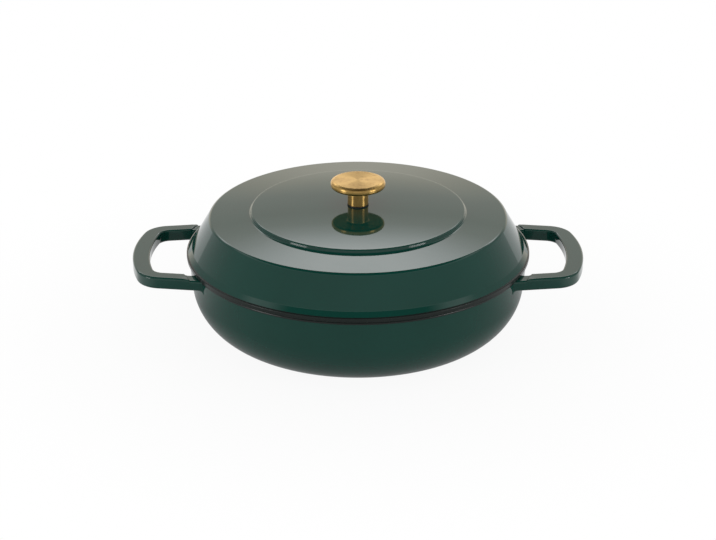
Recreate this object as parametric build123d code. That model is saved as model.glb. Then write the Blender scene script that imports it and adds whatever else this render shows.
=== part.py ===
from build123d import *
from math import cos, hypot, radians, sqrt, tan
import os

# Enamelled cast-iron braiser: a wide, shallow pot cast in one with two loop
# handles, and a domed lid that seats on its rim and carries a turned brass knob.
# The origin is the middle of the flat base, +Z is up and the handles lie along X.
# All lengths are in millimetres and all angles in degrees.

# Pot
rim_radius = 148.9            # outside of the wall at the rim
pot_height = 70.5
pot_wall = 4.5
pot_floor = 5.0
wall_angle = 5.7              # lean of the wall, outwards as it rises
pot_corner_radius = 48.5      # big round between the wall and the base
rim_outer_round = 2.2
rim_inner_round = 1.4

# Loop handles, cast with the pot
handle_length = 49.6          # from the rim to the tip of the grip
handle_half_width = 62.6      # half the loop's outside width, at the rim
handle_taper = 8.0            # each side leans in by this much towards the tip
handle_bow_radius = 144.0
handle_corner_radius = 23.4
handle_thickness = 10.9
handle_rise = 1.1             # the handle's top stands this far above the rim
handle_top_round = 1.8
handle_bottom_round = 2.5
handle_root_round = 5.0       # in plan, where each bar runs into the wall
handle_root_depth = 1.5       # the handle's root reaches this far into the wall
bar_width = 13.0              # each side bar of the loop
grip_width = 15.2
opening_bow_radius = 148.0
opening_corner_radius = 10.8
lid_relief_clearance = 7.2    # room round the lid's edge in the handle's top
lid_relief_drop = 0.3         # the relief's floor lies this far below the rim

# Lid
lid_gap = 0.3                 # between the rim and the lid's seat
lid_wall = 4.5
flange_overhang = 2.0         # beyond the pot's rim
flange_edge_height = 1.6
flange_edge_round_shares = (0.62, 0.5)   # below and above, of the edge's height
flange_shoulder_width = 4.9
flange_shoulder_height = 3.2
flange_inner_height = 4.3
flange_shoulder_round = 1.2
skirt_inset = 8.5             # from the pot's rim in to the skirt's foot
skirt_lean = 10.1             # the skirt leans in this far by its top
skirt_foot_round = 1.6
ring_edge_height = 36.1       # from the lid's seat to the ring's outer edge
ring_edge_round = 4.6
ring_rise = 1.4               # the flat ring climbs this much to the disc's step
ring_width = 36.2             # from the skirt's top in to the disc's step
disc_step = 3.9
disc_foot_round = 1.8
disc_edge_round = 1.6
crown_rise = 3.6              # of the disc's shallow crown over its own edge
inner_round = 3.0
locating_depth = 5.0          # of the ring under the lid that sits in the pot
locating_clearance = 1.2
locating_round = 1.2
boss_radius = 14.0            # pad under the lid for the knob's washer
boss_thickness = 2.0
boss_round = 0.8
knob_hole_radius = 3.5

# Drip rings under the lid, where condensed steam gathers and falls back
drip_round = 2.2              # radius of a ring's half-round section
drip_height = 1.5
drip_ring_shares = (0.34, 0.58, 0.82, 1.2)   # of the disc's inner radius

# Knob and its fixing
gasket_radius = 9.3
gasket_thickness = 1.0
knob_height = 22.1
knob_stem_radius = 9.1
knob_foot_round = 0.4
knob_cap_radius = 24.0
knob_cap_thickness = 5.6
knob_cap_round = 2.4
knob_shoulder_width = 3.2     # sloping band round the cap's flat top
knob_shoulder_drop = 1.0
knob_cove = 2.0
knob_bore_depth = 14.0
screw_radius = 3.0
screw_clearance = 0.1
screw_length = 20.0
screw_head_radius = 5.8
screw_head_height = 3.6
screw_head_round = 1.4
recess_length = 6.6
recess_width = 1.3
recess_depth = 1.8
washer_radius = 9.0
washer_thickness = 1.2
lock_washer_radius = 5.4
lock_washer_thickness = 1.5
lock_washer_gap = 0.9
lock_washer_slant = 20.0

overrun = 2.0                 # cuts run this far past the faces they open

# Radii and heights that several pieces share
handle_reach = rim_radius + handle_length
flange_radius = rim_radius + flange_overhang
skirt_foot_radius = rim_radius - skirt_inset
ring_edge_radius = skirt_foot_radius - skirt_lean
disc_radius = ring_edge_radius - ring_width
handle_top = pot_height + handle_rise
handle_bottom = handle_top - handle_thickness
lid_base = pot_height + lid_gap
ring_edge_top = lid_base + ring_edge_height
ring_inner_top = ring_edge_top + ring_rise
disc_edge_top = ring_inner_top + disc_step
crown_radius = (disc_radius ** 2 + crown_rise ** 2) / (2 * crown_rise)
crown_centre = disc_edge_top + crown_rise - crown_radius
knob_seat = crown_centre + sqrt(crown_radius ** 2 - gasket_radius ** 2)
boss_face = knob_seat - lid_wall - boss_thickness
knob_foot = knob_seat + gasket_thickness
disc_inner_radius = disc_radius - lid_wall
crown_inner_radius = crown_radius - lid_wall
washer_face = boss_face - washer_thickness
screw_seat = washer_face - lock_washer_thickness


def rounded(face, corners):
    """Round the named corners of a flat outline, each given as x, y and radius."""
    for x, y, radius in corners:
        corner = face.vertices().sort_by_distance((x, y))[0]
        face = fillet(corner, radius)
    return face


def outline(points, corners=()):
    return rounded(make_face(Polyline(*points, close=True)), corners)


def turned(face):
    """Turn an outline drawn as radius and height about the pot's axis."""
    return revolve(Plane.XZ * face, Axis.Z)


def tube(outer_radius, inner_radius, bottom, thickness):
    ring = Circle(outer_radius) - Circle(inner_radius)
    return extrude(Pos(0, 0, bottom) * ring, thickness)


def wall_radius(radius_at_rim, height):
    return radius_at_rim - (pot_height - height) * tan(radians(wall_angle))


def pot_outside():
    heel = wall_radius(rim_radius, 0)
    round_limit = min(rim_outer_round, pot_wall / 2)
    corners = [(heel, 0, pot_corner_radius), (rim_radius, pot_height, round_limit)]
    return turned(outline([(0, 0), (heel, 0), (rim_radius, pot_height), (0, pot_height)], corners))


def pot_cavity():
    """The hollow, with a flare at its mouth that rounds the rim's inner edge."""
    inner_rim = rim_radius - pot_wall / cos(radians(wall_angle))
    heel = wall_radius(inner_rim, pot_floor)
    top = pot_height + overrun
    hollow = outline(
        [(0, pot_floor), (heel, pot_floor), (wall_radius(inner_rim, top), top), (0, top)],
        [(heel, pot_floor, pot_corner_radius - pot_wall)],
    )
    edge = min(rim_inner_round, pot_wall / 2)
    centre_height = pot_height - edge
    centre_radius = wall_radius(inner_rim, centre_height) + edge
    flare = outline([
        (0, centre_height),
        (centre_radius, centre_height),
        (centre_radius, pot_height),
        (0, pot_height),
    ])
    flare -= Pos(centre_radius, centre_height) * Circle(edge)
    return turned(hollow + flare)


def loop_face(half_width, tip, bow_radius, corner_radius):
    """Plan of one loop: straight sides that lean in, a bowed end, round corners."""
    root = rim_radius - handle_half_width / 2
    lean = tan(radians(handle_taper))
    root_width = half_width + (rim_radius - root) * lean
    tip_width = half_width - (tip - rim_radius) * lean
    sides = outline([(root, -root_width), (tip, -tip_width), (tip, tip_width), (root, root_width)])
    bow = Pos(tip - bow_radius, 0) * Rot(0, 0, 180) * Circle(bow_radius)
    face = sides & bow
    outer = face.vertices().sort_by(Axis.X)[-2:]
    return fillet(outer, corner_radius)


def lid_relief():
    """Shallow step in the handle's top, curved in section, that clears the lid."""
    floor = pot_height - lid_relief_drop
    step = (handle_top - floor) / 2
    wall = flange_radius + lid_relief_clearance
    top = handle_top + overrun
    face = outline([(0, floor), (wall, floor), (wall, top), (0, top)], [(wall, floor, step)])
    lip = Pos(wall, handle_top) * Rectangle(2 * step, 2 * step)
    lip -= Pos(wall + step, handle_top - step) * Circle(step)
    return turned(face + lip)


def handle_plan():
    """The loop seen from above, with rounded roots on a slice of the pot's wall."""
    loop = loop_face(handle_half_width, handle_reach, handle_bow_radius, handle_corner_radius)
    loop -= loop_face(
        handle_half_width - bar_width,
        handle_reach - grip_width,
        opening_bow_radius,
        opening_corner_radius,
    )
    root_radius = wall_radius(rim_radius, handle_bottom) - handle_root_depth
    slice_width = 2 * (handle_half_width + 2 * handle_root_round)
    wall_slice = Circle(root_radius) & Pos(rim_radius, 0) * Rectangle(handle_half_width, slice_width)
    plan = loop + wall_slice
    roots = [
        corner for corner in plan.vertices()
        if abs(hypot(corner.X, corner.Y) - root_radius) < handle_root_depth / 2
        and abs(corner.Y) < handle_half_width + handle_root_round
    ]
    return fillet(roots, handle_root_round)


def handle():
    """One loop handle on +X, not yet joined to the pot."""
    loop = extrude(Pos(0, 0, handle_bottom) * handle_plan(), handle_thickness)
    loop = fillet(loop.faces().sort_by(Axis.Z)[-1].edges(), handle_top_round)
    loop = fillet(loop.faces().sort_by(Axis.Z)[0].edges(), handle_bottom_round)
    return loop - lid_relief()


def pot_body():
    loop = handle()
    pot = pot_outside() + loop + mirror(loop, Plane.YZ)
    return pot - pot_cavity()


def skirt_outer(height):
    """Outer radius of the lid's skirt at a height."""
    foot = lid_base + flange_inner_height
    slope = (skirt_foot_radius - ring_edge_radius) / (ring_edge_top - foot)
    return skirt_foot_radius - (height - foot) * slope


def skirt_inner(height):
    run = skirt_outer(0) - skirt_outer(1)
    return skirt_outer(height) - lid_wall * sqrt(1 + run ** 2)


def crown_disc(radius):
    return Pos(0, crown_centre) * Rot(0, 0, -90) * Circle(radius)


def lid_outside():
    locating_radius = rim_radius - pot_wall - locating_clearance
    locating_bottom = lid_base - locating_depth
    edge_top = lid_base + flange_edge_height
    lower_share, upper_share = flange_edge_round_shares
    shoulder = flange_radius - flange_shoulder_width
    shoulder_top = lid_base + flange_shoulder_height
    foot_top = lid_base + flange_inner_height
    face = outline([
        (0, locating_bottom),
        (locating_radius, locating_bottom),
        (locating_radius, lid_base),
        (flange_radius, lid_base),
        (flange_radius, edge_top),
        (shoulder, shoulder_top),
        (skirt_foot_radius, foot_top),
        (ring_edge_radius, ring_edge_top),
        (disc_radius, ring_inner_top),
        (disc_radius, knob_seat),
        (0, knob_seat),
    ])
    face &= crown_disc(crown_radius)
    return turned(rounded(face, [
        (locating_radius, locating_bottom, locating_round),
        (locating_radius, lid_base, locating_round),
        (flange_radius, lid_base, flange_edge_height * lower_share),
        (flange_radius, edge_top, flange_edge_height * upper_share),
        (shoulder, shoulder_top, flange_shoulder_round),
        (skirt_foot_radius, foot_top, skirt_foot_round),
        (ring_edge_radius, ring_edge_top, ring_edge_round),
        (disc_radius, ring_inner_top, disc_foot_round),
        (disc_radius, disc_edge_top, disc_edge_round),
    ]))


def underside(radius):
    """Height of the lid's inner face, under the disc or under the flat ring."""
    if radius < disc_inner_radius:
        return crown_centre + sqrt(crown_inner_radius ** 2 - radius ** 2)
    slope = ring_rise / (ring_edge_radius - disc_radius)
    return ring_inner_top - lid_wall - (radius - disc_radius) * slope


def lid_hollow():
    """The space under the lid, less the low drip rings on the lid's inner face."""
    bottom = lid_base - locating_depth - overrun
    edge_top = ring_edge_top - lid_wall
    step_foot = ring_inner_top - lid_wall
    face = outline([
        (0, bottom),
        (skirt_inner(bottom), bottom),
        (skirt_inner(edge_top), edge_top),
        (disc_inner_radius, step_foot),
        (disc_inner_radius, knob_seat),
        (boss_radius, knob_seat),
        (boss_radius, boss_face),
        (0, boss_face),
    ])
    face &= crown_disc(crown_inner_radius)
    face = rounded(face, [
        (skirt_inner(edge_top), edge_top, inner_round),
        (disc_inner_radius, step_foot, disc_edge_round),
        (disc_inner_radius, disc_edge_top - lid_wall, disc_foot_round),
        (boss_radius, boss_face, boss_round),
    ])
    for share in drip_ring_shares:
        radius = share * disc_inner_radius
        height = underside(radius) + drip_round - drip_height
        face -= Pos(radius, height) * Circle(drip_round)
    return turned(face)


def lid():
    shell = lid_outside() - lid_hollow()
    return shell - Pos(0, 0, knob_seat) * Cylinder(knob_hole_radius, 4 * lid_wall)


def lid_knob():
    top = knob_foot + knob_height
    shoulder = top - knob_shoulder_drop
    cap_bottom = top - knob_cap_thickness
    cap_round = min(knob_cap_round, (shoulder - cap_bottom) * 0.49)
    knob = turned(outline(
        [
            (0, knob_foot),
            (knob_stem_radius, knob_foot),
            (knob_stem_radius, cap_bottom),
            (knob_cap_radius, cap_bottom),
            (knob_cap_radius, shoulder),
            (knob_cap_radius - knob_shoulder_width, top),
            (0, top),
        ],
        [
            (knob_stem_radius, knob_foot, knob_foot_round),
            (knob_stem_radius, cap_bottom, knob_cove),
            (knob_cap_radius, cap_bottom, cap_round),
            (knob_cap_radius, shoulder, cap_round),
        ],
    ))
    bore = extrude(Pos(0, 0, knob_foot) * Circle(screw_radius + screw_clearance), knob_bore_depth)
    return knob - bore


def knob_gasket():
    return tube(gasket_radius, knob_hole_radius, knob_seat, gasket_thickness)


def knob_washer():
    return tube(washer_radius, knob_hole_radius, washer_face, washer_thickness)


def knob_lock_washer():
    """Split spring washer, with a slanted gap across one side of its ring."""
    inner = screw_radius + screw_clearance
    ring = tube(lock_washer_radius, inner, screw_seat, lock_washer_thickness)
    middle = screw_seat + lock_washer_thickness / 2
    gap = Rot(lock_washer_slant, 0, 0) * Box(
        lock_washer_radius, lock_washer_gap, 4 * lock_washer_thickness
    )
    return ring - Pos((lock_washer_radius + inner) / 2, 0, middle) * gap


def knob_screw():
    """Pan-head screw with a cross recess, driven up from inside the lid."""
    head_bottom = screw_seat - screw_head_height
    screw = turned(outline(
        [
            (0, head_bottom),
            (screw_head_radius, head_bottom),
            (screw_head_radius, screw_seat),
            (screw_radius, screw_seat),
            (screw_radius, screw_seat + screw_length),
            (0, screw_seat + screw_length),
        ],
        [(screw_head_radius, head_bottom, screw_head_round)],
    ))
    for turn in (0, 90):
        slot = Rot(0, 0, turn) * Box(recess_length, recess_width, 2 * recess_depth)
        screw -= Pos(0, 0, head_bottom) * slot
    return screw


nodes = {
    "pot_body": pot_body,
    "lid": lid,
    "lid_knob": lid_knob,
    "knob_gasket": knob_gasket,
    "knob_washer": knob_washer,
    "knob_lock_washer": knob_lock_washer,
    "knob_screw": knob_screw,
}

os.makedirs("parts", exist_ok=True)
for name, make in nodes.items():
    export_step(make(), f"parts/{name}.step")
    print("wrote", name)
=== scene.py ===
from math import acos, atan2, cos, pi, radians, sin, sqrt, tan

import bmesh
import bpy
from mathutils import Matrix, Vector


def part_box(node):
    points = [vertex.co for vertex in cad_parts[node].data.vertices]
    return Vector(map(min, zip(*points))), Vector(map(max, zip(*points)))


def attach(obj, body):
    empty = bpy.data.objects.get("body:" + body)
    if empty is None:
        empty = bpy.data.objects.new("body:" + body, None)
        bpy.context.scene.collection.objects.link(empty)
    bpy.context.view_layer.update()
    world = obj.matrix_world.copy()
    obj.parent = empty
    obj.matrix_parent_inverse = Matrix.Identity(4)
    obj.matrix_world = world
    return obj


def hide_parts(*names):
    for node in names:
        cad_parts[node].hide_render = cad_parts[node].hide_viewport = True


# Lengths of the pieces are in millimetres, which finishMesh turns into metres.
# Those of the materials and the studio are in metres.
mm = 0.001
mergeDistance = 0.001     # points closer than this many millimetres become one

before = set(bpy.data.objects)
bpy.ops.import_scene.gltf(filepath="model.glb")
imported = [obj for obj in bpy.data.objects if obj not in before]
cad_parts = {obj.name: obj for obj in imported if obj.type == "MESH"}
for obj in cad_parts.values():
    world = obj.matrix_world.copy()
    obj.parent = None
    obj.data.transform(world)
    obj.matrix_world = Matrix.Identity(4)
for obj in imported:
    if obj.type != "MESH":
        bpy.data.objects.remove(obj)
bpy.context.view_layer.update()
print("frame loaded:", sorted(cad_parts))


# Mesh helpers

def lineOf(bm, points, closed=False):
    verts = [bm.verts.new(point) for point in points]
    for first, second in zip(verts, verts[1:]):
        bm.edges.new((first, second))
    if closed:
        bm.edges.new((verts[-1], verts[0]))
    return verts


def roundCorner(bm, vert, radius, segments):
    # a vertex bevel whose arc has the asked radius
    before, after = [edge.other_vert(vert).co - vert.co for edge in vert.link_edges]
    turn = pi - before.angle(after)
    bmesh.ops.bevel(
        bm, geom=[vert], offset=radius * tan(turn / 2), offset_type="OFFSET",
        segments=segments, profile=0.5, affect="VERTICES", material=-1,
    )


def turnedMesh(corners, steps, closed=False):
    # corners are radius, height, round and segments; the line is spun about Z
    bm = bmesh.new()
    verts = lineOf(bm, [(corner[0], 0, corner[1]) for corner in corners], closed)
    for vert, corner in zip(verts, corners):
        if len(corner) > 2:
            roundCorner(bm, vert, corner[2], corner[3])
    bmesh.ops.spin(
        bm, geom=bm.verts[:] + bm.edges[:], cent=(0, 0, 0), axis=(0, 0, 1),
        angle=2 * pi, steps=steps, use_merge=True, use_duplicate=False,
    )
    bmesh.ops.remove_doubles(bm, verts=bm.verts[:], dist=mergeDistance)
    bmesh.ops.recalc_face_normals(bm, faces=bm.faces[:])
    return bm


def finishMesh(bm, name, body, sharpAngle=40):
    # to metres, smooth shaded, riding on its body
    bmesh.ops.scale(bm, vec=(mm, mm, mm), verts=bm.verts[:])
    mesh = bpy.data.meshes.new(name)
    bm.to_mesh(mesh)
    bm.free()
    mesh.polygons.foreach_set("use_smooth", [True] * len(mesh.polygons))
    mesh.set_sharp_from_angle(angle=radians(sharpAngle))
    piece = bpy.data.objects.new(name, mesh)
    bpy.context.scene.collection.objects.link(piece)
    weighted = piece.modifiers.new("weighted", "WEIGHTED_NORMAL")
    weighted.mode = "FACE_AREA"
    weighted.keep_sharp = True
    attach(piece, body)
    return piece


def arcPoints(centre, radius, start, end, count):
    # points of an arc in the plane of two coordinates, angles in radians
    cx, cy = centre
    for index in range(count + 1):
        angle = start + (end - start) * index / count
        yield cx + radius * cos(angle), cy + radius * sin(angle)


# Pot

potSizes = {
    "rimRadius": 148.9,
    "height": 70.5,
    "wall": 4.5,
    "floor": 5.0,
    "wallAngle": 5.7,
    "cornerRadius": 48.5,
    "cornerSteps": 40,
    "rimOuterRound": 2.2,
    "rimInnerRound": 1.4,
    "steps": 256,
}


def wallRadius(height, atRim=potSizes["rimRadius"]):
    return atRim - (potSizes["height"] - height) * tan(radians(potSizes["wallAngle"]))


def makePot(sizes):
    height, floor = sizes["height"], sizes["floor"]
    innerRim = sizes["rimRadius"] - sizes["wall"] / cos(radians(sizes["wallAngle"]))
    innerCorner = sizes["cornerRadius"] - sizes["wall"]
    bm = turnedMesh([
        (0, 0),
        (wallRadius(0), 0, sizes["cornerRadius"], sizes["cornerSteps"]),
        (sizes["rimRadius"], height, sizes["rimOuterRound"], 8),
        (innerRim, height, sizes["rimInnerRound"], 6),
        (wallRadius(floor, innerRim), floor, innerCorner, sizes["cornerSteps"]),
        (0, floor),
    ], sizes["steps"])
    return finishMesh(bm, "potShell", "pot")


# Loop handles

handleSizes = {
    "length": 49.6,           # from the rim to the grip's tip
    "halfWidth": 62.6,
    "taper": 8.0,
    "bowRadius": 144.0,
    "cornerRadius": 23.4,
    "thickness": 10.9,
    "rise": 1.1,
    "topRound": 1.8,
    "bottomRound": 2.5,
    "rootRound": 5.0,
    "rootDepth": 1.5,
    "rootEnd": 3.6,           # the bars end this far inside the rim's radius
    "underFlare": 3.5,        # the bars thicken downwards where they meet the wall
    "barWidth": 13.0,
    "gripWidth": 15.2,
    "openingBowRadius": 148.0,
    "openingCornerRadius": 10.8,
    "reliefClearance": 9.2,   # from the rim out to the step in the handle's top
    "reliefDrop": 0.3,
    "sharpAngle": 60,
    "roundSteps": 6,
    "flatSteps": 6,
    "sideSteps": 6,
    "cornerSteps": 16,
    "bowSteps": 12,
    # stations along the bar: in the flare, beyond the wall and over the top's step
    "flareStations": (0, 0.06, 0.15, 0.27, 0.41, 0.58, 0.78, 1),
    "clearStations": (5, 7.5),
    "stepStations": (-1.2, -1, -0.8, -0.5, -0.25, 0, 0.25, 0.5, 0.8, 1, 1.2),
}


def tangentCentre(line, offset, circleX, distance):
    # centre at an offset from a side line and at a distance from (circleX, 0)
    start, direction, normal = line
    moved = start + offset * normal
    toStart = moved - Vector((circleX, 0))
    middle = toStart.dot(direction)
    along = sqrt(middle ** 2 - toStart.length_squared + distance ** 2) - middle
    return moved + along * direction


def loopOutline(sizes, halfWidth, tip, bowRadius, cornerRadius, side):
    # half of one outline, from the wall to the middle of the grip: each point
    # comes with the direction that leads into the metal
    lean = radians(sizes["taper"])
    sideFrom = Vector((potSizes["rimRadius"], halfWidth))
    sideWay = Vector((cos(lean), -sin(lean)))
    normal = Vector((sin(lean), cos(lean)))
    line = (sideFrom, sideWay, normal)
    bottom = potSizes["height"] + sizes["rise"] - sizes["thickness"]
    wall = wallRadius(bottom)
    foot = wall - sizes["rootDepth"]
    rootRound = sizes["rootRound"]
    root = tangentCentre(line, side * rootRound, 0, foot + rootRound)
    rootReach = (root - side * rootRound * normal).length     # where the round meets the bar
    toRoot = root.normalized()
    corner = tangentCentre(line, -cornerRadius, tip - bowRadius, bowRadius - cornerRadius)
    bow = Vector((tip - bowRadius, 0))
    step = potSizes["rimRadius"] + sizes["reliefClearance"]
    half = (sizes["rise"] + sizes["reliefDrop"]) / 2
    radii = [foot, (foot + wall) / 2]
    radii += [wall + share * sizes["underFlare"] for share in sizes["flareStations"]]
    radii += [wall + beyond for beyond in sizes["clearStations"]]
    radii += [step + share * half for share in sizes["stepStations"]]
    points = [(toRoot * foot, Vector((0, 0)))]
    for radius in radii:
        if radius < rootReach:
            reach = (radius ** 2 + root.length_squared - rootRound ** 2) / (2 * root.length)
            across = sqrt(max(radius ** 2 - reach ** 2, 0))
            point = reach * toRoot - side * across * Vector((-toRoot.y, toRoot.x))
            points.append((point, (point - root) / rootRound))
        else:
            middle = sideFrom.dot(sideWay)
            along = sqrt(middle ** 2 - sideFrom.length_squared + radius ** 2) - middle
            points.append((sideFrom + along * sideWay, -side * normal))
    sideEnd = corner + cornerRadius * normal
    sideStart = points[-1][0]
    for index in range(1, sizes["sideSteps"]):
        points.append((sideStart.lerp(sideEnd, index / sizes["sideSteps"]), -side * normal))
    bowAngle = atan2(corner.y, corner.x - bow.x)
    for centre, radius, start, end, count in (
        (corner, cornerRadius, pi / 2 - lean, bowAngle, sizes["cornerSteps"]),
        (bow, bowRadius, bowAngle, 0, sizes["bowSteps"]),
    ):
        for index in range(count + 1):
            if centre is bow and index == 0:
                continue
            angle = start + (end - start) * index / count
            outward = Vector((cos(angle), sin(angle)))
            points.append((centre + radius * outward, -side * outward))
    return points


def handleTop(radius, sizes):
    # height of the top face, with the shallow step that clears the lid's edge
    half = (sizes["rise"] + sizes["reliefDrop"]) / 2
    share = (radius - potSizes["rimRadius"] - sizes["reliefClearance"] + half) / (2 * half)
    share = min(max(share, 0), 1)
    return potSizes["height"] - sizes["reliefDrop"] + 2 * half * share * share * (3 - 2 * share)


def handleBottom(radius, sizes):
    # height of the underside, which curves down into the wall
    bottom = potSizes["height"] + sizes["rise"] - sizes["thickness"]
    flare = sizes["underFlare"]
    inside = flare - min(max(radius - wallRadius(bottom), 0), flare)
    return bottom - flare + sqrt(flare ** 2 - inside ** 2)


def barSection(outer, inner, sizes):
    # closed ring of points round the bar at one station
    rootEnd = potSizes["rimRadius"] - sizes["rootEnd"]
    topRound, bottomRound = sizes["topRound"], sizes["bottomRound"]
    steps = sizes["roundSteps"]

    def placed(plan, isTop, depth):
        radius = max(plan.length, rootEnd)
        plan = plan.normalized() * radius
        if isTop:
            height = handleTop(radius, sizes) - depth
        else:
            height = handleBottom(radius, sizes) + depth
        return plan.x, plan.y, height

    def sideUp(station):
        point, inward = station
        for index in range(steps + 1):
            angle = pi / 2 * index / steps
            edge = point + inward * bottomRound * (1 - sin(angle))
            yield placed(edge, False, bottomRound * (1 - cos(angle)))
        for index in range(steps + 1):
            angle = pi / 2 * index / steps
            edge = point + inward * topRound * (1 - cos(angle))
            yield placed(edge, True, topRound * (1 - sin(angle)))

    def flat(first, second, offset, isTop):
        start = first[0] + first[1] * offset
        end = second[0] + second[1] * offset
        for index in range(1, sizes["flatSteps"]):
            yield placed(start.lerp(end, index / sizes["flatSteps"]), isTop, 0)

    ring = list(sideUp(outer))
    ring += flat(outer, inner, topRound, True)
    ring += reversed(list(sideUp(inner)))
    ring += flat(inner, outer, bottomRound, False)
    return ring


def sweptRings(rings):
    # the first ring's edges are extruded from station to station
    bm = bmesh.new()
    verts = lineOf(bm, rings[0], closed=True)
    bm.faces.new(verts)
    edges = bm.edges[:]
    for ring in rings[1:]:
        grown = bmesh.ops.extrude_edge_only(bm, edges=edges)["geom"]
        fresh = {item for item in grown if isinstance(item, bmesh.types.BMVert)}
        following = []
        for vert in verts:
            ends = [edge.other_vert(vert) for edge in vert.link_edges]
            following.append(next(end for end in ends if end in fresh))
        verts = following
        edges = [item for item in grown if isinstance(item, bmesh.types.BMEdge)]
        edges = [edge for edge in edges if edge.verts[0] in fresh and edge.verts[1] in fresh]
        for vert, point in zip(verts, ring):
            vert.co = point
    bm.faces.new(verts)
    bmesh.ops.recalc_face_normals(bm, faces=bm.faces[:])
    return bm


def makeHandle(name, turn, sizes):
    tip = potSizes["rimRadius"] + sizes["length"]
    outer = loopOutline(
        sizes, sizes["halfWidth"], tip, sizes["bowRadius"], sizes["cornerRadius"], 1,
    )
    inner = loopOutline(
        sizes, sizes["halfWidth"] - sizes["barWidth"], tip - sizes["gripWidth"],
        sizes["openingBowRadius"], sizes["openingCornerRadius"], -1,
    )
    rings = [barSection(first, second, sizes) for first, second in zip(outer, inner)]
    mirrored = [[(x, -y, z) for x, y, z in ring] for ring in reversed(rings[:-1])]
    bm = sweptRings(rings + mirrored)
    bmesh.ops.rotate(bm, cent=(0, 0, 0), matrix=Matrix.Rotation(turn, 3, "Z"), verts=bm.verts[:])
    return finishMesh(bm, name, "pot", sizes["sharpAngle"])


# Lid

lidSizes = {
    "gap": 0.3,               # between the flange and the pot's rim
    "wall": 4.5,
    "flangeOverhang": 2.0,
    "edgeHeight": 3.5,
    "edgeUpperRound": 0.7,
    "edgeLowerRound": 1.0,
    "shoulderWidth": 1.3,
    "shoulderHeight": 4.2,
    "shoulderRound": 0.6,
    "innerHeight": 8.2,
    "skirtInset": 2.9,        # from the pot's rim in to the skirt's foot
    "skirtLean": 15.7,
    "skirtFootRound": 2.0,
    "ringEdgeHeight": 35.5,
    "ringEdgeRound": 3.2,
    "ringWidth": 36.2,
    "ringRise": 2.8,
    "discStep": 3.1,
    "discFootRound": 1.8,
    "discEdgeRound": 1.6,
    "crownRise": 3.6,
    "crownMargin": 4.0,       # the crown's own points stop this far from the disc's edge
    "crownSteps": 14,
    "innerRound": 3.0,
    "locatingDepth": 5.0,
    "locatingWidth": 3.6,
    "locatingClearance": 1.2,
    "locatingRound": 1.2,
    "locatingInnerRound": 0.8,
    "bossRadius": 14.0,
    "bossThickness": 2.0,
    "bossRound": 0.8,
    "holeRadius": 3.5,
    "seatRadius": 9.3,
    "dripRound": 2.2,
    "dripHeight": 1.5,
    "dripSteps": 8,
    "dripShares": (0.34, 0.58, 0.82, 1.2),     # of the disc's inner radius
    "steps": 320,
}


def crownLine(radius, centre, start, end, count):
    # points of the shallow crown, from one distance off the axis to another
    for index in range(count + 1):
        out = start + (end - start) * index / count
        yield out, centre + sqrt(radius ** 2 - out ** 2)


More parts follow.
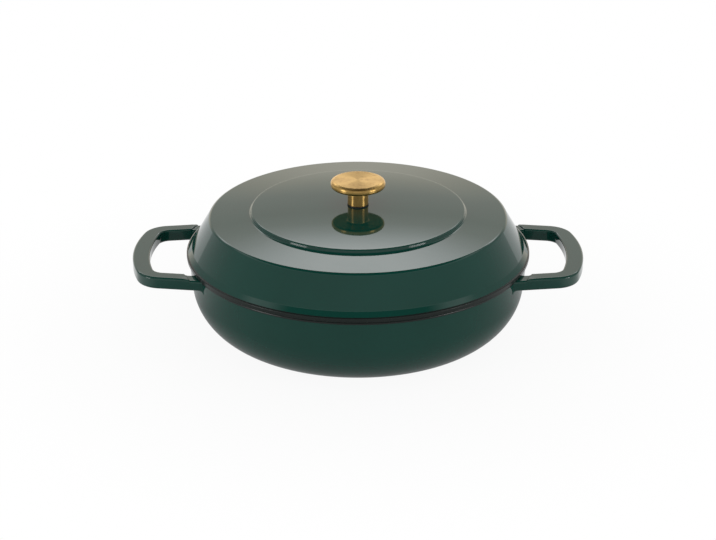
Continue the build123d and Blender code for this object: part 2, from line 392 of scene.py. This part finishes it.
def makeLid(sizes):
    wall = sizes["wall"]
    base = potSizes["height"] + sizes["gap"]
    flange = potSizes["rimRadius"] + sizes["flangeOverhang"]
    shoulder = flange - sizes["shoulderWidth"]
    foot = potSizes["rimRadius"] - sizes["skirtInset"]
    footTop = base + sizes["innerHeight"]
    ringEdge = foot - sizes["skirtLean"]
    ringTop = base + sizes["ringEdgeHeight"]
    ringUnder = ringTop - wall
    disc = ringEdge - sizes["ringWidth"]
    innerDisc = disc - wall
    ringInner = ringTop + sizes["ringRise"]
    discEdge = ringInner + sizes["discStep"]
    crown = (disc ** 2 + sizes["crownRise"] ** 2) / (2 * sizes["crownRise"])
    innerCrown = crown - wall
    centre = discEdge + sizes["crownRise"] - crown
    slope = sizes["skirtLean"] / (ringTop - footTop)
    innerFoot = foot - wall * sqrt(1 + slope ** 2)
    locating = potSizes["rimRadius"] - potSizes["wall"] - sizes["locatingClearance"]
    locatingInner = locating - sizes["locatingWidth"]
    locatingBottom = base - sizes["locatingDepth"]
    locatingTop = footTop + (innerFoot - locatingInner) / slope

    def crownHeight(sphere, radius):
        return centre + sqrt(sphere ** 2 - radius ** 2)

    def skirtInner(height):
        return innerFoot - (height - footTop) * slope

    def ringUnderside(radius):
        return ringInner - wall - (radius - disc) * sizes["ringRise"] / sizes["ringWidth"]

    def dripRing(radius, height):
        # half-round ridge across the inner face, from its outer edge to its inner one
        rise = sizes["dripRound"] - sizes["dripHeight"]
        half = acos(rise / sizes["dripRound"])
        return list(arcPoints(
            (radius, height + rise), sizes["dripRound"], half - pi / 2, -half - pi / 2,
            sizes["dripSteps"],
        ))

    seat = crownHeight(crown, sizes["seatRadius"])
    bossFace = seat - wall - sizes["bossThickness"]
    crownEnd = disc - sizes["crownMargin"]
    outside = [(sizes["holeRadius"], seat), (sizes["seatRadius"], seat)]
    crownPoints = crownLine(crown, centre, sizes["seatRadius"], crownEnd, sizes["crownSteps"])
    outside += list(crownPoints)[1:]
    outside += [
        (disc, crownHeight(crown, disc), sizes["discEdgeRound"], 8),
        (disc, ringInner, sizes["discFootRound"], 8),
        (ringEdge, ringTop, sizes["ringEdgeRound"], 14),
        (foot, footTop, sizes["skirtFootRound"], 8),
        (shoulder, base + sizes["shoulderHeight"], sizes["shoulderRound"], 5),
        (flange, base + sizes["edgeHeight"], sizes["edgeUpperRound"], 5),
        (flange, base, sizes["edgeLowerRound"], 6),
        (locating, base, sizes["locatingRound"], 5),
        (locating, locatingBottom, sizes["locatingRound"], 6),
        (locatingInner, locatingBottom, sizes["locatingInnerRound"], 4),
        (locatingInner, locatingTop, sizes["innerRound"], 6),
        (skirtInner(ringUnder), ringUnder, sizes["innerRound"], 8),
    ]
    inside = []
    for share in reversed(sizes["dripShares"]):
        radius = share * innerDisc
        if radius > innerDisc:
            inside += dripRing(radius, ringUnderside(radius))
            inside += [
                (innerDisc, ringInner - wall, sizes["discEdgeRound"], 6),
                (innerDisc, crownHeight(innerCrown, innerDisc), sizes["discFootRound"], 6),
            ]
        else:
            inside += dripRing(radius, crownHeight(innerCrown, radius))
    inside += [
        (sizes["bossRadius"], crownHeight(innerCrown, sizes["bossRadius"])),
        (sizes["bossRadius"], bossFace, sizes["bossRound"], 4),
        (sizes["holeRadius"], bossFace),
    ]
    bm = turnedMesh(outside + inside, sizes["steps"], closed=True)
    return finishMesh(bm, "lidShell", "lid_group")


# Knob

knobSizes = {
    "stemRadius": 9.1,
    "footRound": 0.4,
    "capRadius": 24.0,
    "capThickness": 6.4,
    "capRound": 2.4,
    "shoulderWidth": 3.2,
    "shoulderDrop": 1.0,
    "shoulderRound": 0.5,
    "cove": 2.0,
    "boreRadius": 3.1,
    "boreDepth": 14.0,
    "steps": 192,
}


def makeKnob(sizes):
    footLow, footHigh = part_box("lid_knob")
    foot = footLow.z / mm
    top = footHigh.z / mm
    under = top - sizes["capThickness"]
    bm = turnedMesh([
        (0, foot + sizes["boreDepth"]),
        (sizes["boreRadius"], foot + sizes["boreDepth"]),
        (sizes["boreRadius"], foot),
        (sizes["stemRadius"], foot, sizes["footRound"], 4),
        (sizes["stemRadius"], under, sizes["cove"], 8),
        (sizes["capRadius"], under, sizes["capRound"], 12),
        (sizes["capRadius"], top - sizes["shoulderDrop"], sizes["capRound"], 12),
        (sizes["capRadius"] - sizes["shoulderWidth"], top, sizes["shoulderRound"], 3),
        (0, top),
    ], sizes["steps"])
    return finishMesh(bm, "turnedKnob", "lid_group")


# Materials

def materialOf(name):
    material = bpy.data.materials.new(name)
    material.use_nodes = True
    return material, material.node_tree, material.node_tree.nodes["Principled BSDF"]


def addNode(tree, kind, **settings):
    node = tree.nodes.new(kind)
    for key, value in settings.items():
        setattr(node, key, value)
    return node


def setInputs(node, **values):
    for key, value in values.items():
        node.inputs[key].default_value = value


def mixColours(tree, share, first, second):
    # a colour mix; each end is a fixed colour or another node's output
    mix = addNode(tree, "ShaderNodeMix", data_type="RGBA")
    tree.links.new(share, mix.inputs[0])
    for socket, end in ((mix.inputs[6], first), (mix.inputs[7], second)):
        if isinstance(end, tuple):
            socket.default_value = (*end, 1)
        else:
            tree.links.new(end, socket)
    return mix.outputs[2]


def remap(tree, source, fromMin, fromMax, toMin, toMax, smooth=False):
    node = addNode(tree, "ShaderNodeMapRange")
    node.interpolation_type = "SMOOTHSTEP" if smooth else "LINEAR"
    setInputs(node, **{"From Min": fromMin, "From Max": fromMax, "To Min": toMin, "To Max": toMax})
    tree.links.new(source, node.inputs["Value"])
    return node.outputs["Result"]


def noise(tree, vector, scale, detail):
    node = addNode(tree, "ShaderNodeTexNoise")
    setInputs(node, Scale=scale, Detail=detail)
    tree.links.new(vector, node.inputs["Vector"])
    return node.outputs["Fac"]


def startGroup(name, inputs, outputs):
    group = bpy.data.node_groups.new(name, "ShaderNodeTree")
    for label, value in inputs.items():
        socket = group.interface.new_socket(label, in_out="INPUT", socket_type="NodeSocketFloat")
        socket.default_value = value
    for label in outputs:
        kind = "NodeSocketVector" if label == "Normal" else "NodeSocketFloat"
        group.interface.new_socket(label, in_out="OUTPUT", socket_type=kind)
    return group, addNode(group, "NodeGroupInput"), addNode(group, "NodeGroupOutput")


def roughnessOut(tree, share, start, end):
    # roughness plus a share of the spread
    node = addNode(tree, "ShaderNodeMath", operation="MULTIPLY_ADD")
    tree.links.new(share, node.inputs[0])
    tree.links.new(start.outputs["Roughness Spread"], node.inputs[1])
    tree.links.new(start.outputs["Roughness"], node.inputs[2])
    tree.links.new(node.outputs[0], end.inputs["Roughness"])


glazeValues = {
    "driftScale": 18.0,
    "hazeScale": 45.0,
    "hazeRange": (0.45, 0.75),
    "edgeRange": (0.515, 0.6),     # pointiness from which the glaze runs thin
}


def glazeGroup():
    # fired glaze: orange peel, colour drift, thin edges and the haze of use
    group, start, end = startGroup(
        "glazeSurface",
        {"Peel Size": 150.0, "Peel Depth": 0.000008, "Roughness": 0.05, "Roughness Spread": 0.05},
        ("Drift", "Edge", "Roughness", "Normal"),
    )
    links = group.links
    where = addNode(group, "ShaderNodeTexCoord").outputs["Object"]
    peel = addNode(group, "ShaderNodeTexNoise")
    setInputs(peel, Detail=1.0, Roughness=0.4)
    links.new(where, peel.inputs["Vector"])
    links.new(start.outputs["Peel Size"], peel.inputs["Scale"])
    bump = addNode(group, "ShaderNodeBump")
    links.new(start.outputs["Peel Depth"], bump.inputs["Distance"])
    links.new(peel.outputs["Fac"], bump.inputs["Height"])
    drift = noise(group, where, glazeValues["driftScale"], 3.0)
    haze = noise(group, where, glazeValues["hazeScale"], 6.0)
    form = addNode(group, "ShaderNodeNewGeometry")
    links.new(drift, end.inputs["Drift"])
    edge = remap(group, form.outputs["Pointiness"], *glazeValues["edgeRange"], 0, 1)
    links.new(edge, end.inputs["Edge"])
    roughnessOut(group, remap(group, haze, *glazeValues["hazeRange"], 0, 1), start, end)
    links.new(bump.outputs["Normal"], end.inputs["Normal"])
    return group


turnedValues = {
    "wanderScale": 90.0,
    "wander": 0.00015,             # the lathe's rings stray by this much
    "patinaScale": 220.0,
    "patinaRange": (0.5, 0.75),
    "hollowRange": (0.49, 0.42),   # pointiness from which the colour turns darker, in concave creases
}


def turnedGroup():
    # fine rings left by the lathe, slightly uneven, and patches of patina
    group, start, end = startGroup(
        "turnedSurface",
        {"Mark Size": 5000.0, "Mark Depth": 0.000004, "Roughness": 0.25, "Roughness Spread": 0.1},
        ("Marks", "Patina", "Hollow", "Roughness", "Normal"),
    )
    links = group.links
    where = addNode(group, "ShaderNodeTexCoord").outputs["Object"]
    parts = addNode(group, "ShaderNodeSeparateXYZ")
    links.new(where, parts.inputs["Vector"])
    flat = addNode(group, "ShaderNodeCombineXYZ")
    links.new(parts.outputs["X"], flat.inputs["X"])
    links.new(parts.outputs["Y"], flat.inputs["Y"])
    out = addNode(group, "ShaderNodeVectorMath", operation="LENGTH")
    links.new(flat.outputs["Vector"], out.inputs[0])
    stray = turnedValues["wander"]
    wander = noise(group, where, turnedValues["wanderScale"], 2.0)
    wander = remap(group, wander, 0, 1, -stray, stray)
    uneven = addNode(group, "ShaderNodeMath", operation="ADD")
    links.new(out.outputs["Value"], uneven.inputs[0])
    links.new(wander, uneven.inputs[1])
    ring = addNode(group, "ShaderNodeCombineXYZ")
    links.new(uneven.outputs[0], ring.inputs["X"])
    links.new(parts.outputs["Z"], ring.inputs["Z"])
    marks = addNode(group, "ShaderNodeTexNoise")
    setInputs(marks, Detail=4.0, Roughness=0.65)
    links.new(ring.outputs["Vector"], marks.inputs["Vector"])
    links.new(start.outputs["Mark Size"], marks.inputs["Scale"])
    bump = addNode(group, "ShaderNodeBump")
    links.new(start.outputs["Mark Depth"], bump.inputs["Distance"])
    links.new(marks.outputs["Fac"], bump.inputs["Height"])
    form = addNode(group, "ShaderNodeNewGeometry")
    links.new(marks.outputs["Fac"], end.inputs["Marks"])
    patina = noise(group, where, turnedValues["patinaScale"], 5.0)
    patina = remap(group, patina, *turnedValues["patinaRange"], 0, 1)
    links.new(patina, end.inputs["Patina"])
    hollow = remap(group, form.outputs["Pointiness"], *turnedValues["hollowRange"], 0, 1)
    links.new(hollow, end.inputs["Hollow"])
    roughnessOut(group, marks.outputs["Fac"], start, end)
    links.new(bump.outputs["Normal"], end.inputs["Normal"])
    return group


glaze = glazeGroup()
turned = turnedGroup()

greenLook = {
    "thick": (0.0016, 0.034, 0.024),
    "thin": (0.0028, 0.046, 0.034),
    "edge": (0.005, 0.034, 0.025),
    "roughness": 0.045,
    "spread": 0.035,
    "peel": 0.000005,
    "ior": 1.5,
}

blackLook = {
    "thick": (0.006, 0.010, 0.009),
    "thin": (0.011, 0.016, 0.014),
    "edge": (0.018, 0.021, 0.019),
    "roughness": 0.24,
    "spread": 0.10,
    "peel": 0.00001,
    "ior": 1.36,
}

creamLook = {
    "thick": (0.62, 0.56, 0.44),
    "thin": (0.70, 0.64, 0.52),
    "edge": (0.50, 0.42, 0.30),
    "roughness": 0.09,
    "spread": 0.08,
    "peel": 0.00001,
    "ior": 1.5,
}


def enamelMaterial(name, look):
    material, tree, shader = materialOf(name)
    surface = addNode(tree, "ShaderNodeGroup", node_tree=glaze)
    setInputs(surface, **{
        "Roughness": look["roughness"],
        "Roughness Spread": look["spread"],
        "Peel Depth": look["peel"],
    })
    tint = mixColours(tree, surface.outputs["Drift"], look["thick"], look["thin"])
    worn = mixColours(tree, surface.outputs["Edge"], tint, look["edge"])
    tree.links.new(worn, shader.inputs["Base Color"])
    tree.links.new(surface.outputs["Roughness"], shader.inputs["Roughness"])
    tree.links.new(surface.outputs["Normal"], shader.inputs["Normal"])
    setInputs(shader, IOR=look["ior"])
    return material


brassLook = {
    "warm": (0.53, 0.32, 0.085),
    "pale": (0.65, 0.44, 0.165),
    "patina": (0.42, 0.24, 0.07),
    "hollow": (0.14, 0.065, 0.015),
    "roughness": 0.25,
    "spread": 0.12,
    "anisotropy": 0.85,
    "across": 0.25,       # quarter turn: the shine spreads across the lathe's rings
    "depth": 0.000004,
}

steelLook = {
    "warm": (0.50, 0.50, 0.51),
    "pale": (0.66, 0.66, 0.66),
    "patina": (0.42, 0.41, 0.40),
    "hollow": (0.10, 0.10, 0.10),
    "roughness": 0.22,
    "spread": 0.16,
    "anisotropy": 0.5,
    "across": 0.25,
    "depth": 0.000003,
}


def turnedMaterial(name, look):
    material, tree, shader = materialOf(name)
    links = tree.links
    surface = addNode(tree, "ShaderNodeGroup", node_tree=turned)
    setInputs(surface, **{
        "Roughness": look["roughness"],
        "Roughness Spread": look["spread"],
        "Mark Depth": look["depth"],
    })
    tint = mixColours(tree, surface.outputs["Marks"], look["warm"], look["pale"])
    aged = mixColours(tree, surface.outputs["Patina"], tint, look["patina"])
    # darker in concave creases, where the Hollow mask is high
    creaseDarkened = mixColours(tree, surface.outputs["Hollow"], aged, look["hollow"])
    around = addNode(tree, "ShaderNodeVectorMath", operation="CROSS_PRODUCT")
    around.inputs[0].default_value = (0, 0, 1)
    links.new(addNode(tree, "ShaderNodeTexCoord").outputs["Object"], around.inputs[1])
    unit = addNode(tree, "ShaderNodeVectorMath", operation="NORMALIZE")
    links.new(around.outputs["Vector"], unit.inputs[0])
    links.new(creaseDarkened, shader.inputs["Base Color"])
    links.new(surface.outputs["Roughness"], shader.inputs["Roughness"])
    links.new(surface.outputs["Normal"], shader.inputs["Normal"])
    links.new(unit.outputs["Vector"], shader.inputs["Tangent"])
    setInputs(shader, Metallic=1.0, Anisotropic=look["anisotropy"])
    setInputs(shader, **{"Anisotropic Rotation": look["across"]})
    return material


rubberLook = {
    "dark": (0.010, 0.010, 0.010),
    "light": (0.022, 0.021, 0.020),
    "roughness": (0.49, 0.65),
    "grainScale": 900.0,
    "grainRange": (0.3, 0.7),
    "depth": 0.00002,
}


def rubberMaterial(look):
    material, tree, shader = materialOf("blackRubber")
    where = addNode(tree, "ShaderNodeTexCoord").outputs["Object"]
    grain = noise(tree, where, look["grainScale"], 4.0)
    bump = addNode(tree, "ShaderNodeBump")
    setInputs(bump, Distance=look["depth"])
    tree.links.new(grain, bump.inputs["Height"])
    tint = mixColours(tree, grain, look["dark"], look["light"])
    tree.links.new(tint, shader.inputs["Base Color"])
    rough = remap(tree, grain, *look["grainRange"], *look["roughness"])
    tree.links.new(rough, shader.inputs["Roughness"])
    tree.links.new(bump.outputs["Normal"], shader.inputs["Normal"])
    return material


def paint(piece, material):
    piece.data.materials.clear()
    piece.data.materials.append(material)


def coat(piece, material, chosen):
    # faces that the test picks get another finish; the test reads the distance
    # from the axis, the height, and how far the face looks up and outwards
    piece.data.materials.append(material)
    index = len(piece.data.materials) - 1
    for face in piece.data.polygons:
        out = Vector((face.center.x, face.center.y, 0))
        outward = face.normal.dot(out.normalized())
        if chosen(out.length / mm, face.center.z / mm, face.normal.z, outward):
            face.material_index = index


# where one enamel meets another: directions are cosines, lengths millimetres
finishLimits = {
    "away": -0.02,            # faces that look inwards or down by more than this
    "level": 0.5,             # faces that look up by more than this
    "baseDown": -0.999,       # the pot's flat base
    "seatDown": -0.9,         # the flange's flat underside
    "rimAndShadowBand": 2.8,           # height of the black band on the pot's rim: black enamel on the rim's top and round, with painted shadow of the lid's overhang below it on the wall
    "rimFrom": 143.0,         # radius from which the rim is black
    "holeEdge": 5.0,          # the screw's hole in the lid lies inside this radius
    "edgeBand": 0.2,          # the lid's black edge reaches this far past its shoulder
    "seatBelow": 0.05,        # faces this far below the lid's seat are its locating ring's
    "seatAbove": 0.1,         # the flange's underside lies no higher than this
    "locatingBand": 1.0,      # cream reaches this far out past the locating ring
}


def isPotInside(radius, height, up, outward):
    onWall = outward < finishLimits["away"] and height > potSizes["floor"]
    onFloor = up > finishLimits["level"] and height < potSizes["height"] / 2
    return onWall or onFloor


# the rim's own black enamel on its top and round, and the base; below the round, a strip of
# painted shadow under the lid's overhang
def isPotRimAndShadowBand(radius, height, up, outward):
    high = height > potSizes["height"] - finishLimits["rimAndShadowBand"]
    return high and radius > finishLimits["rimFrom"] or up < finishLimits["baseDown"]


def isLidUnderside(radius, height, up, outward):
    locating = potSizes["rimRadius"] - potSizes["wall"] - lidSizes["locatingClearance"]
    seat = potSizes["height"] + lidSizes["gap"]
    below = height < seat - finishLimits["seatBelow"]
    facesIn = outward < finishLimits["away"] and radius > finishLimits["holeEdge"]
    facesDown = up < finishLimits["away"] and radius < locating + finishLimits["locatingBand"]
    return below or facesIn or facesDown


def isLidEdge(radius, height, up, outward):
    flange = potSizes["rimRadius"] + lidSizes["flangeOverhang"]
    seat = potSizes["height"] + lidSizes["gap"]
    outer = radius > flange - lidSizes["shoulderWidth"] - finishLimits["edgeBand"]
    under = up < finishLimits["seatDown"] and height < seat + finishLimits["seatAbove"]
    return outer or under


greenEnamel = enamelMaterial("greenEnamel", greenLook)
blackEnamel = enamelMaterial("blackEnamel", blackLook)
creamEnamel = enamelMaterial("creamEnamel", creamLook)
turnedBrass = turnedMaterial("turnedBrass", brassLook)
turnedSteel = turnedMaterial("turnedSteel", steelLook)
blackRubber = rubberMaterial(rubberLook)

pot = makePot(potSizes)
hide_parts("pot_body")
paint(pot, greenEnamel)
# black rim enamel, with a painted shadow strip under the lid's overhang
coat(pot, blackEnamel, isPotRimAndShadowBand)
coat(pot, creamEnamel, isPotInside)
for handleName, turn in (("rightHandle", 0), ("leftHandle", pi)):
    handle = makeHandle(handleName, turn, handleSizes)
    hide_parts("pot_body")
    paint(handle, greenEnamel)
print("pot and handles made")

lid = makeLid(lidSizes)
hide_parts("lid")
paint(lid, greenEnamel)
coat(lid, blackEnamel, isLidEdge)
coat(lid, creamEnamel, isLidUnderside)
print("lid made")

knob = makeKnob(knobSizes)
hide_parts("lid_knob")
paint(knob, turnedBrass)
for nodeName, material in (
    ("knob_gasket", blackRubber), ("knob_washer", turnedSteel),
    ("knob_lock_washer", turnedSteel), ("knob_screw", turnedSteel),
):
    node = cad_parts[nodeName]
    node.data.materials.clear()
    node.data.materials.append(material)
print("knob and its fixing made")


# Studio

studio = {
    "elevation": 23.52,
    "distance": 2.2,
    "lens": 124.85,
    "aimHeight": 0.0532,
    "floorSize": 12.0,
    "floorColour": (0.85, 0.85, 0.85),
    "floorRoughness": 0.6,
    "nearWhite": 0.93,        # share of plain white that the camera sees beside the pot
    "whiteFade": (0.16, 0.42),
    "reflectedShadowLevel": 0.34,   # level of the painted shadow that the glossy pieces see on the floor in front of the pot
    "reflectedShadowCentre": (0, -0.12, 0),
    "reflectedShadowFade": (0.20, 0.36),
    "worldLevel": 0.78,
    "backPanel": (0.70, 0.94),     # cosine of the heading from which the panel behind shows
    "lampPlace": (1.5, -0.8, 0.3),
    "lampAim": (0, 0, 0.09),
    "lampWidth": 0.55,
    "lampHeight": 0.30,
    "lampPower": 5.0,
}

# what the glossy pieces see round them: sine of the elevation, level, warmth
behindLevels = (
    (0.0, 1.5, 0.2), (0.20, 1.4, 0.2), (0.27, 1.15, 0.2), (0.33, 0.95, 0.12),
    (0.40, 0.95, 0.12), (0.44, 1.15, 0.1), (0.47, 1.6, 0.04), (0.50, 2.3, 0),
    (0.53, 3.1, 0), (0.56, 2.8, 0), (0.60, 0.5, 0), (0.64, 0.05, 0), (1.0, 0.03, 0),
)
frontLevels = (
    (0.0, 0.60, 0), (0.25, 0.44, 0), (0.50, 0.42, 0), (0.60, 0.44, 0),
    (0.66, 0.95, 0), (0.72, 0.80, 0), (0.78, 0.08, 0), (1.0, 0.03, 0),
)
rampTop = 4                   # a ramp ends at one, so it holds shares of this level


def makeCamera(settings):
    camera = bpy.data.objects.new("camera", bpy.data.cameras.new("camera"))
    camera.data.lens = settings["lens"]
    camera.data.sensor_width = 36
    camera.data.clip_end = 50
    tilt = radians(settings["elevation"])
    distance = settings["distance"]
    camera.location = (0, -distance * cos(tilt), settings["aimHeight"] + distance * sin(tilt))
    camera.rotation_euler = (pi / 2 - tilt, 0, 0)
    bpy.context.scene.collection.objects.link(camera)
    bpy.context.scene.camera = camera


def seenDirectly(tree, ray):
    # one for what the camera sees, also through glass
    seen = addNode(tree, "ShaderNodeMath", operation="MAXIMUM")
    tree.links.new(ray.outputs["Is Camera Ray"], seen.inputs[0])
    tree.links.new(ray.outputs["Is Transmission Ray"], seen.inputs[1])
    return seen.outputs[0]


def makeFloor(settings):
    bm = bmesh.new()
    bmesh.ops.create_grid(bm, x_segments=1, y_segments=1, size=settings["floorSize"] / 2)
    mesh = bpy.data.meshes.new("floor")
    bm.to_mesh(mesh)
    bm.free()
    floor = bpy.data.objects.new("floor", mesh)
    bpy.context.scene.collection.objects.link(floor)
    material, tree, shader = materialOf("paleFloor")
    links = tree.links
    setInputs(shader, **{
        "Base Color": (*settings["floorColour"], 1), "Roughness": settings["floorRoughness"],
    })
    where = addNode(tree, "ShaderNodeTexCoord").outputs["Object"]
    ray = addNode(tree, "ShaderNodeLightPath")

    def levelRound(centre, fade, low):
        # level that rises to one with the distance from a point on the floor
        away = addNode(tree, "ShaderNodeVectorMath", operation="DISTANCE")
        links.new(where, away.inputs[0])
        away.inputs[1].default_value = centre
        return remap(tree, away.outputs["Value"], *fade, low, 1, smooth=True)

    white = addNode(tree, "ShaderNodeEmission")
    glow = addNode(tree, "ShaderNodeEmission")
    # glossy pieces see the floor as a glow, dimmed round a point in front of the pot: a painted
    # shadow in the reflections
    reflectedShadow = levelRound(
        settings["reflectedShadowCentre"], settings["reflectedShadowFade"], settings["reflectedShadowLevel"],
    )
    links.new(reflectedShadow, glow.inputs["Strength"])
    seen = addNode(tree, "ShaderNodeMath", operation="MULTIPLY")
    links.new(levelRound((0, 0, 0), settings["whiteFade"], settings["nearWhite"]), seen.inputs[0])
    links.new(seenDirectly(tree, ray), seen.inputs[1])
    direct = addNode(tree, "ShaderNodeMixShader")
    links.new(seen.outputs[0], direct.inputs[0])
    links.new(shader.outputs["BSDF"], direct.inputs[1])
    links.new(white.outputs["Emission"], direct.inputs[2])
    mirrored = addNode(tree, "ShaderNodeMixShader")
    links.new(ray.outputs["Is Glossy Ray"], mirrored.inputs[0])
    links.new(direct.outputs["Shader"], mirrored.inputs[1])
    links.new(glow.outputs["Emission"], mirrored.inputs[2])
    links.new(mirrored.outputs["Shader"], tree.nodes["Material Output"].inputs["Surface"])
    mesh.materials.append(material)


def softBox(name, side, settings):
    data = bpy.data.lights.new(name, "AREA")
    data.shape = "RECTANGLE"
    data.size = settings["lampWidth"]
    data.size_y = settings["lampHeight"]
    data.energy = settings["lampPower"]
    lamp = bpy.data.objects.new(name, data)
    across, back, up = settings["lampPlace"]
    place = Vector((across * side, back, up))
    lamp.location = place
    aim = Vector(settings["lampAim"]) - place
    lamp.rotation_euler = aim.to_track_quat("-Z", "Y").to_euler()
    bpy.context.scene.collection.objects.link(lamp)


def levelRamp(tree, height, levels):
    # warmth takes its full share off blue and 0.4 of it off green
    ramp = addNode(tree, "ShaderNodeValToRGB")
    stops = ramp.color_ramp.elements
    while len(stops) < len(levels):
        stops.new(1.0)
    for stop, (place, level, warmth) in zip(stops, levels):
        stop.position = place
        share = level / rampTop
        stop.color = (share, share * (1 - 0.4 * warmth), share * (1 - warmth), 1)
    tree.links.new(height, ramp.inputs["Fac"])
    return ramp.outputs["Color"]


def makeWorld(settings):
    world = bpy.data.worlds.new("studio")
    bpy.context.scene.world = world
    world.use_nodes = True
    tree = world.node_tree
    links = tree.links
    parts = addNode(tree, "ShaderNodeSeparateXYZ")
    links.new(addNode(tree, "ShaderNodeTexCoord").outputs["Generated"], parts.inputs["Vector"])
    behind = levelRamp(tree, parts.outputs["Z"], behindLevels)
    front = levelRamp(tree, parts.outputs["Z"], frontLevels)
    flat = addNode(tree, "ShaderNodeCombineXYZ")
    links.new(parts.outputs["X"], flat.inputs["X"])
    links.new(parts.outputs["Y"], flat.inputs["Y"])
    unit = addNode(tree, "ShaderNodeVectorMath", operation="NORMALIZE")
    links.new(flat.outputs["Vector"], unit.inputs[0])
    heading = addNode(tree, "ShaderNodeSeparateXYZ")
    links.new(unit.outputs["Vector"], heading.inputs["Vector"])
    turnedBack = remap(tree, heading.outputs["Y"], *settings["backPanel"], 0, 1, smooth=True)
    scale = addNode(tree, "ShaderNodeVectorMath", operation="SCALE")
    scale.inputs["Scale"].default_value = rampTop
    links.new(mixColours(tree, turnedBack, front, behind), scale.inputs[0])
    ray = addNode(tree, "ShaderNodeLightPath")
    plain = (settings["worldLevel"],) * 3
    soft = mixColours(tree, ray.outputs["Is Glossy Ray"], plain, scale.outputs["Vector"])
    colour = mixColours(tree, seenDirectly(tree, ray), soft, (1.0, 1.0, 1.0))
    links.new(colour, tree.nodes["Background"].inputs["Color"])


makeCamera(studio)
makeFloor(studio)
makeWorld(studio)
for side in (-1, 1):
    softBox(f"softBox{side}", side, studio)
print("studio made")

bpy.context.scene.view_settings.view_transform = "Standard"
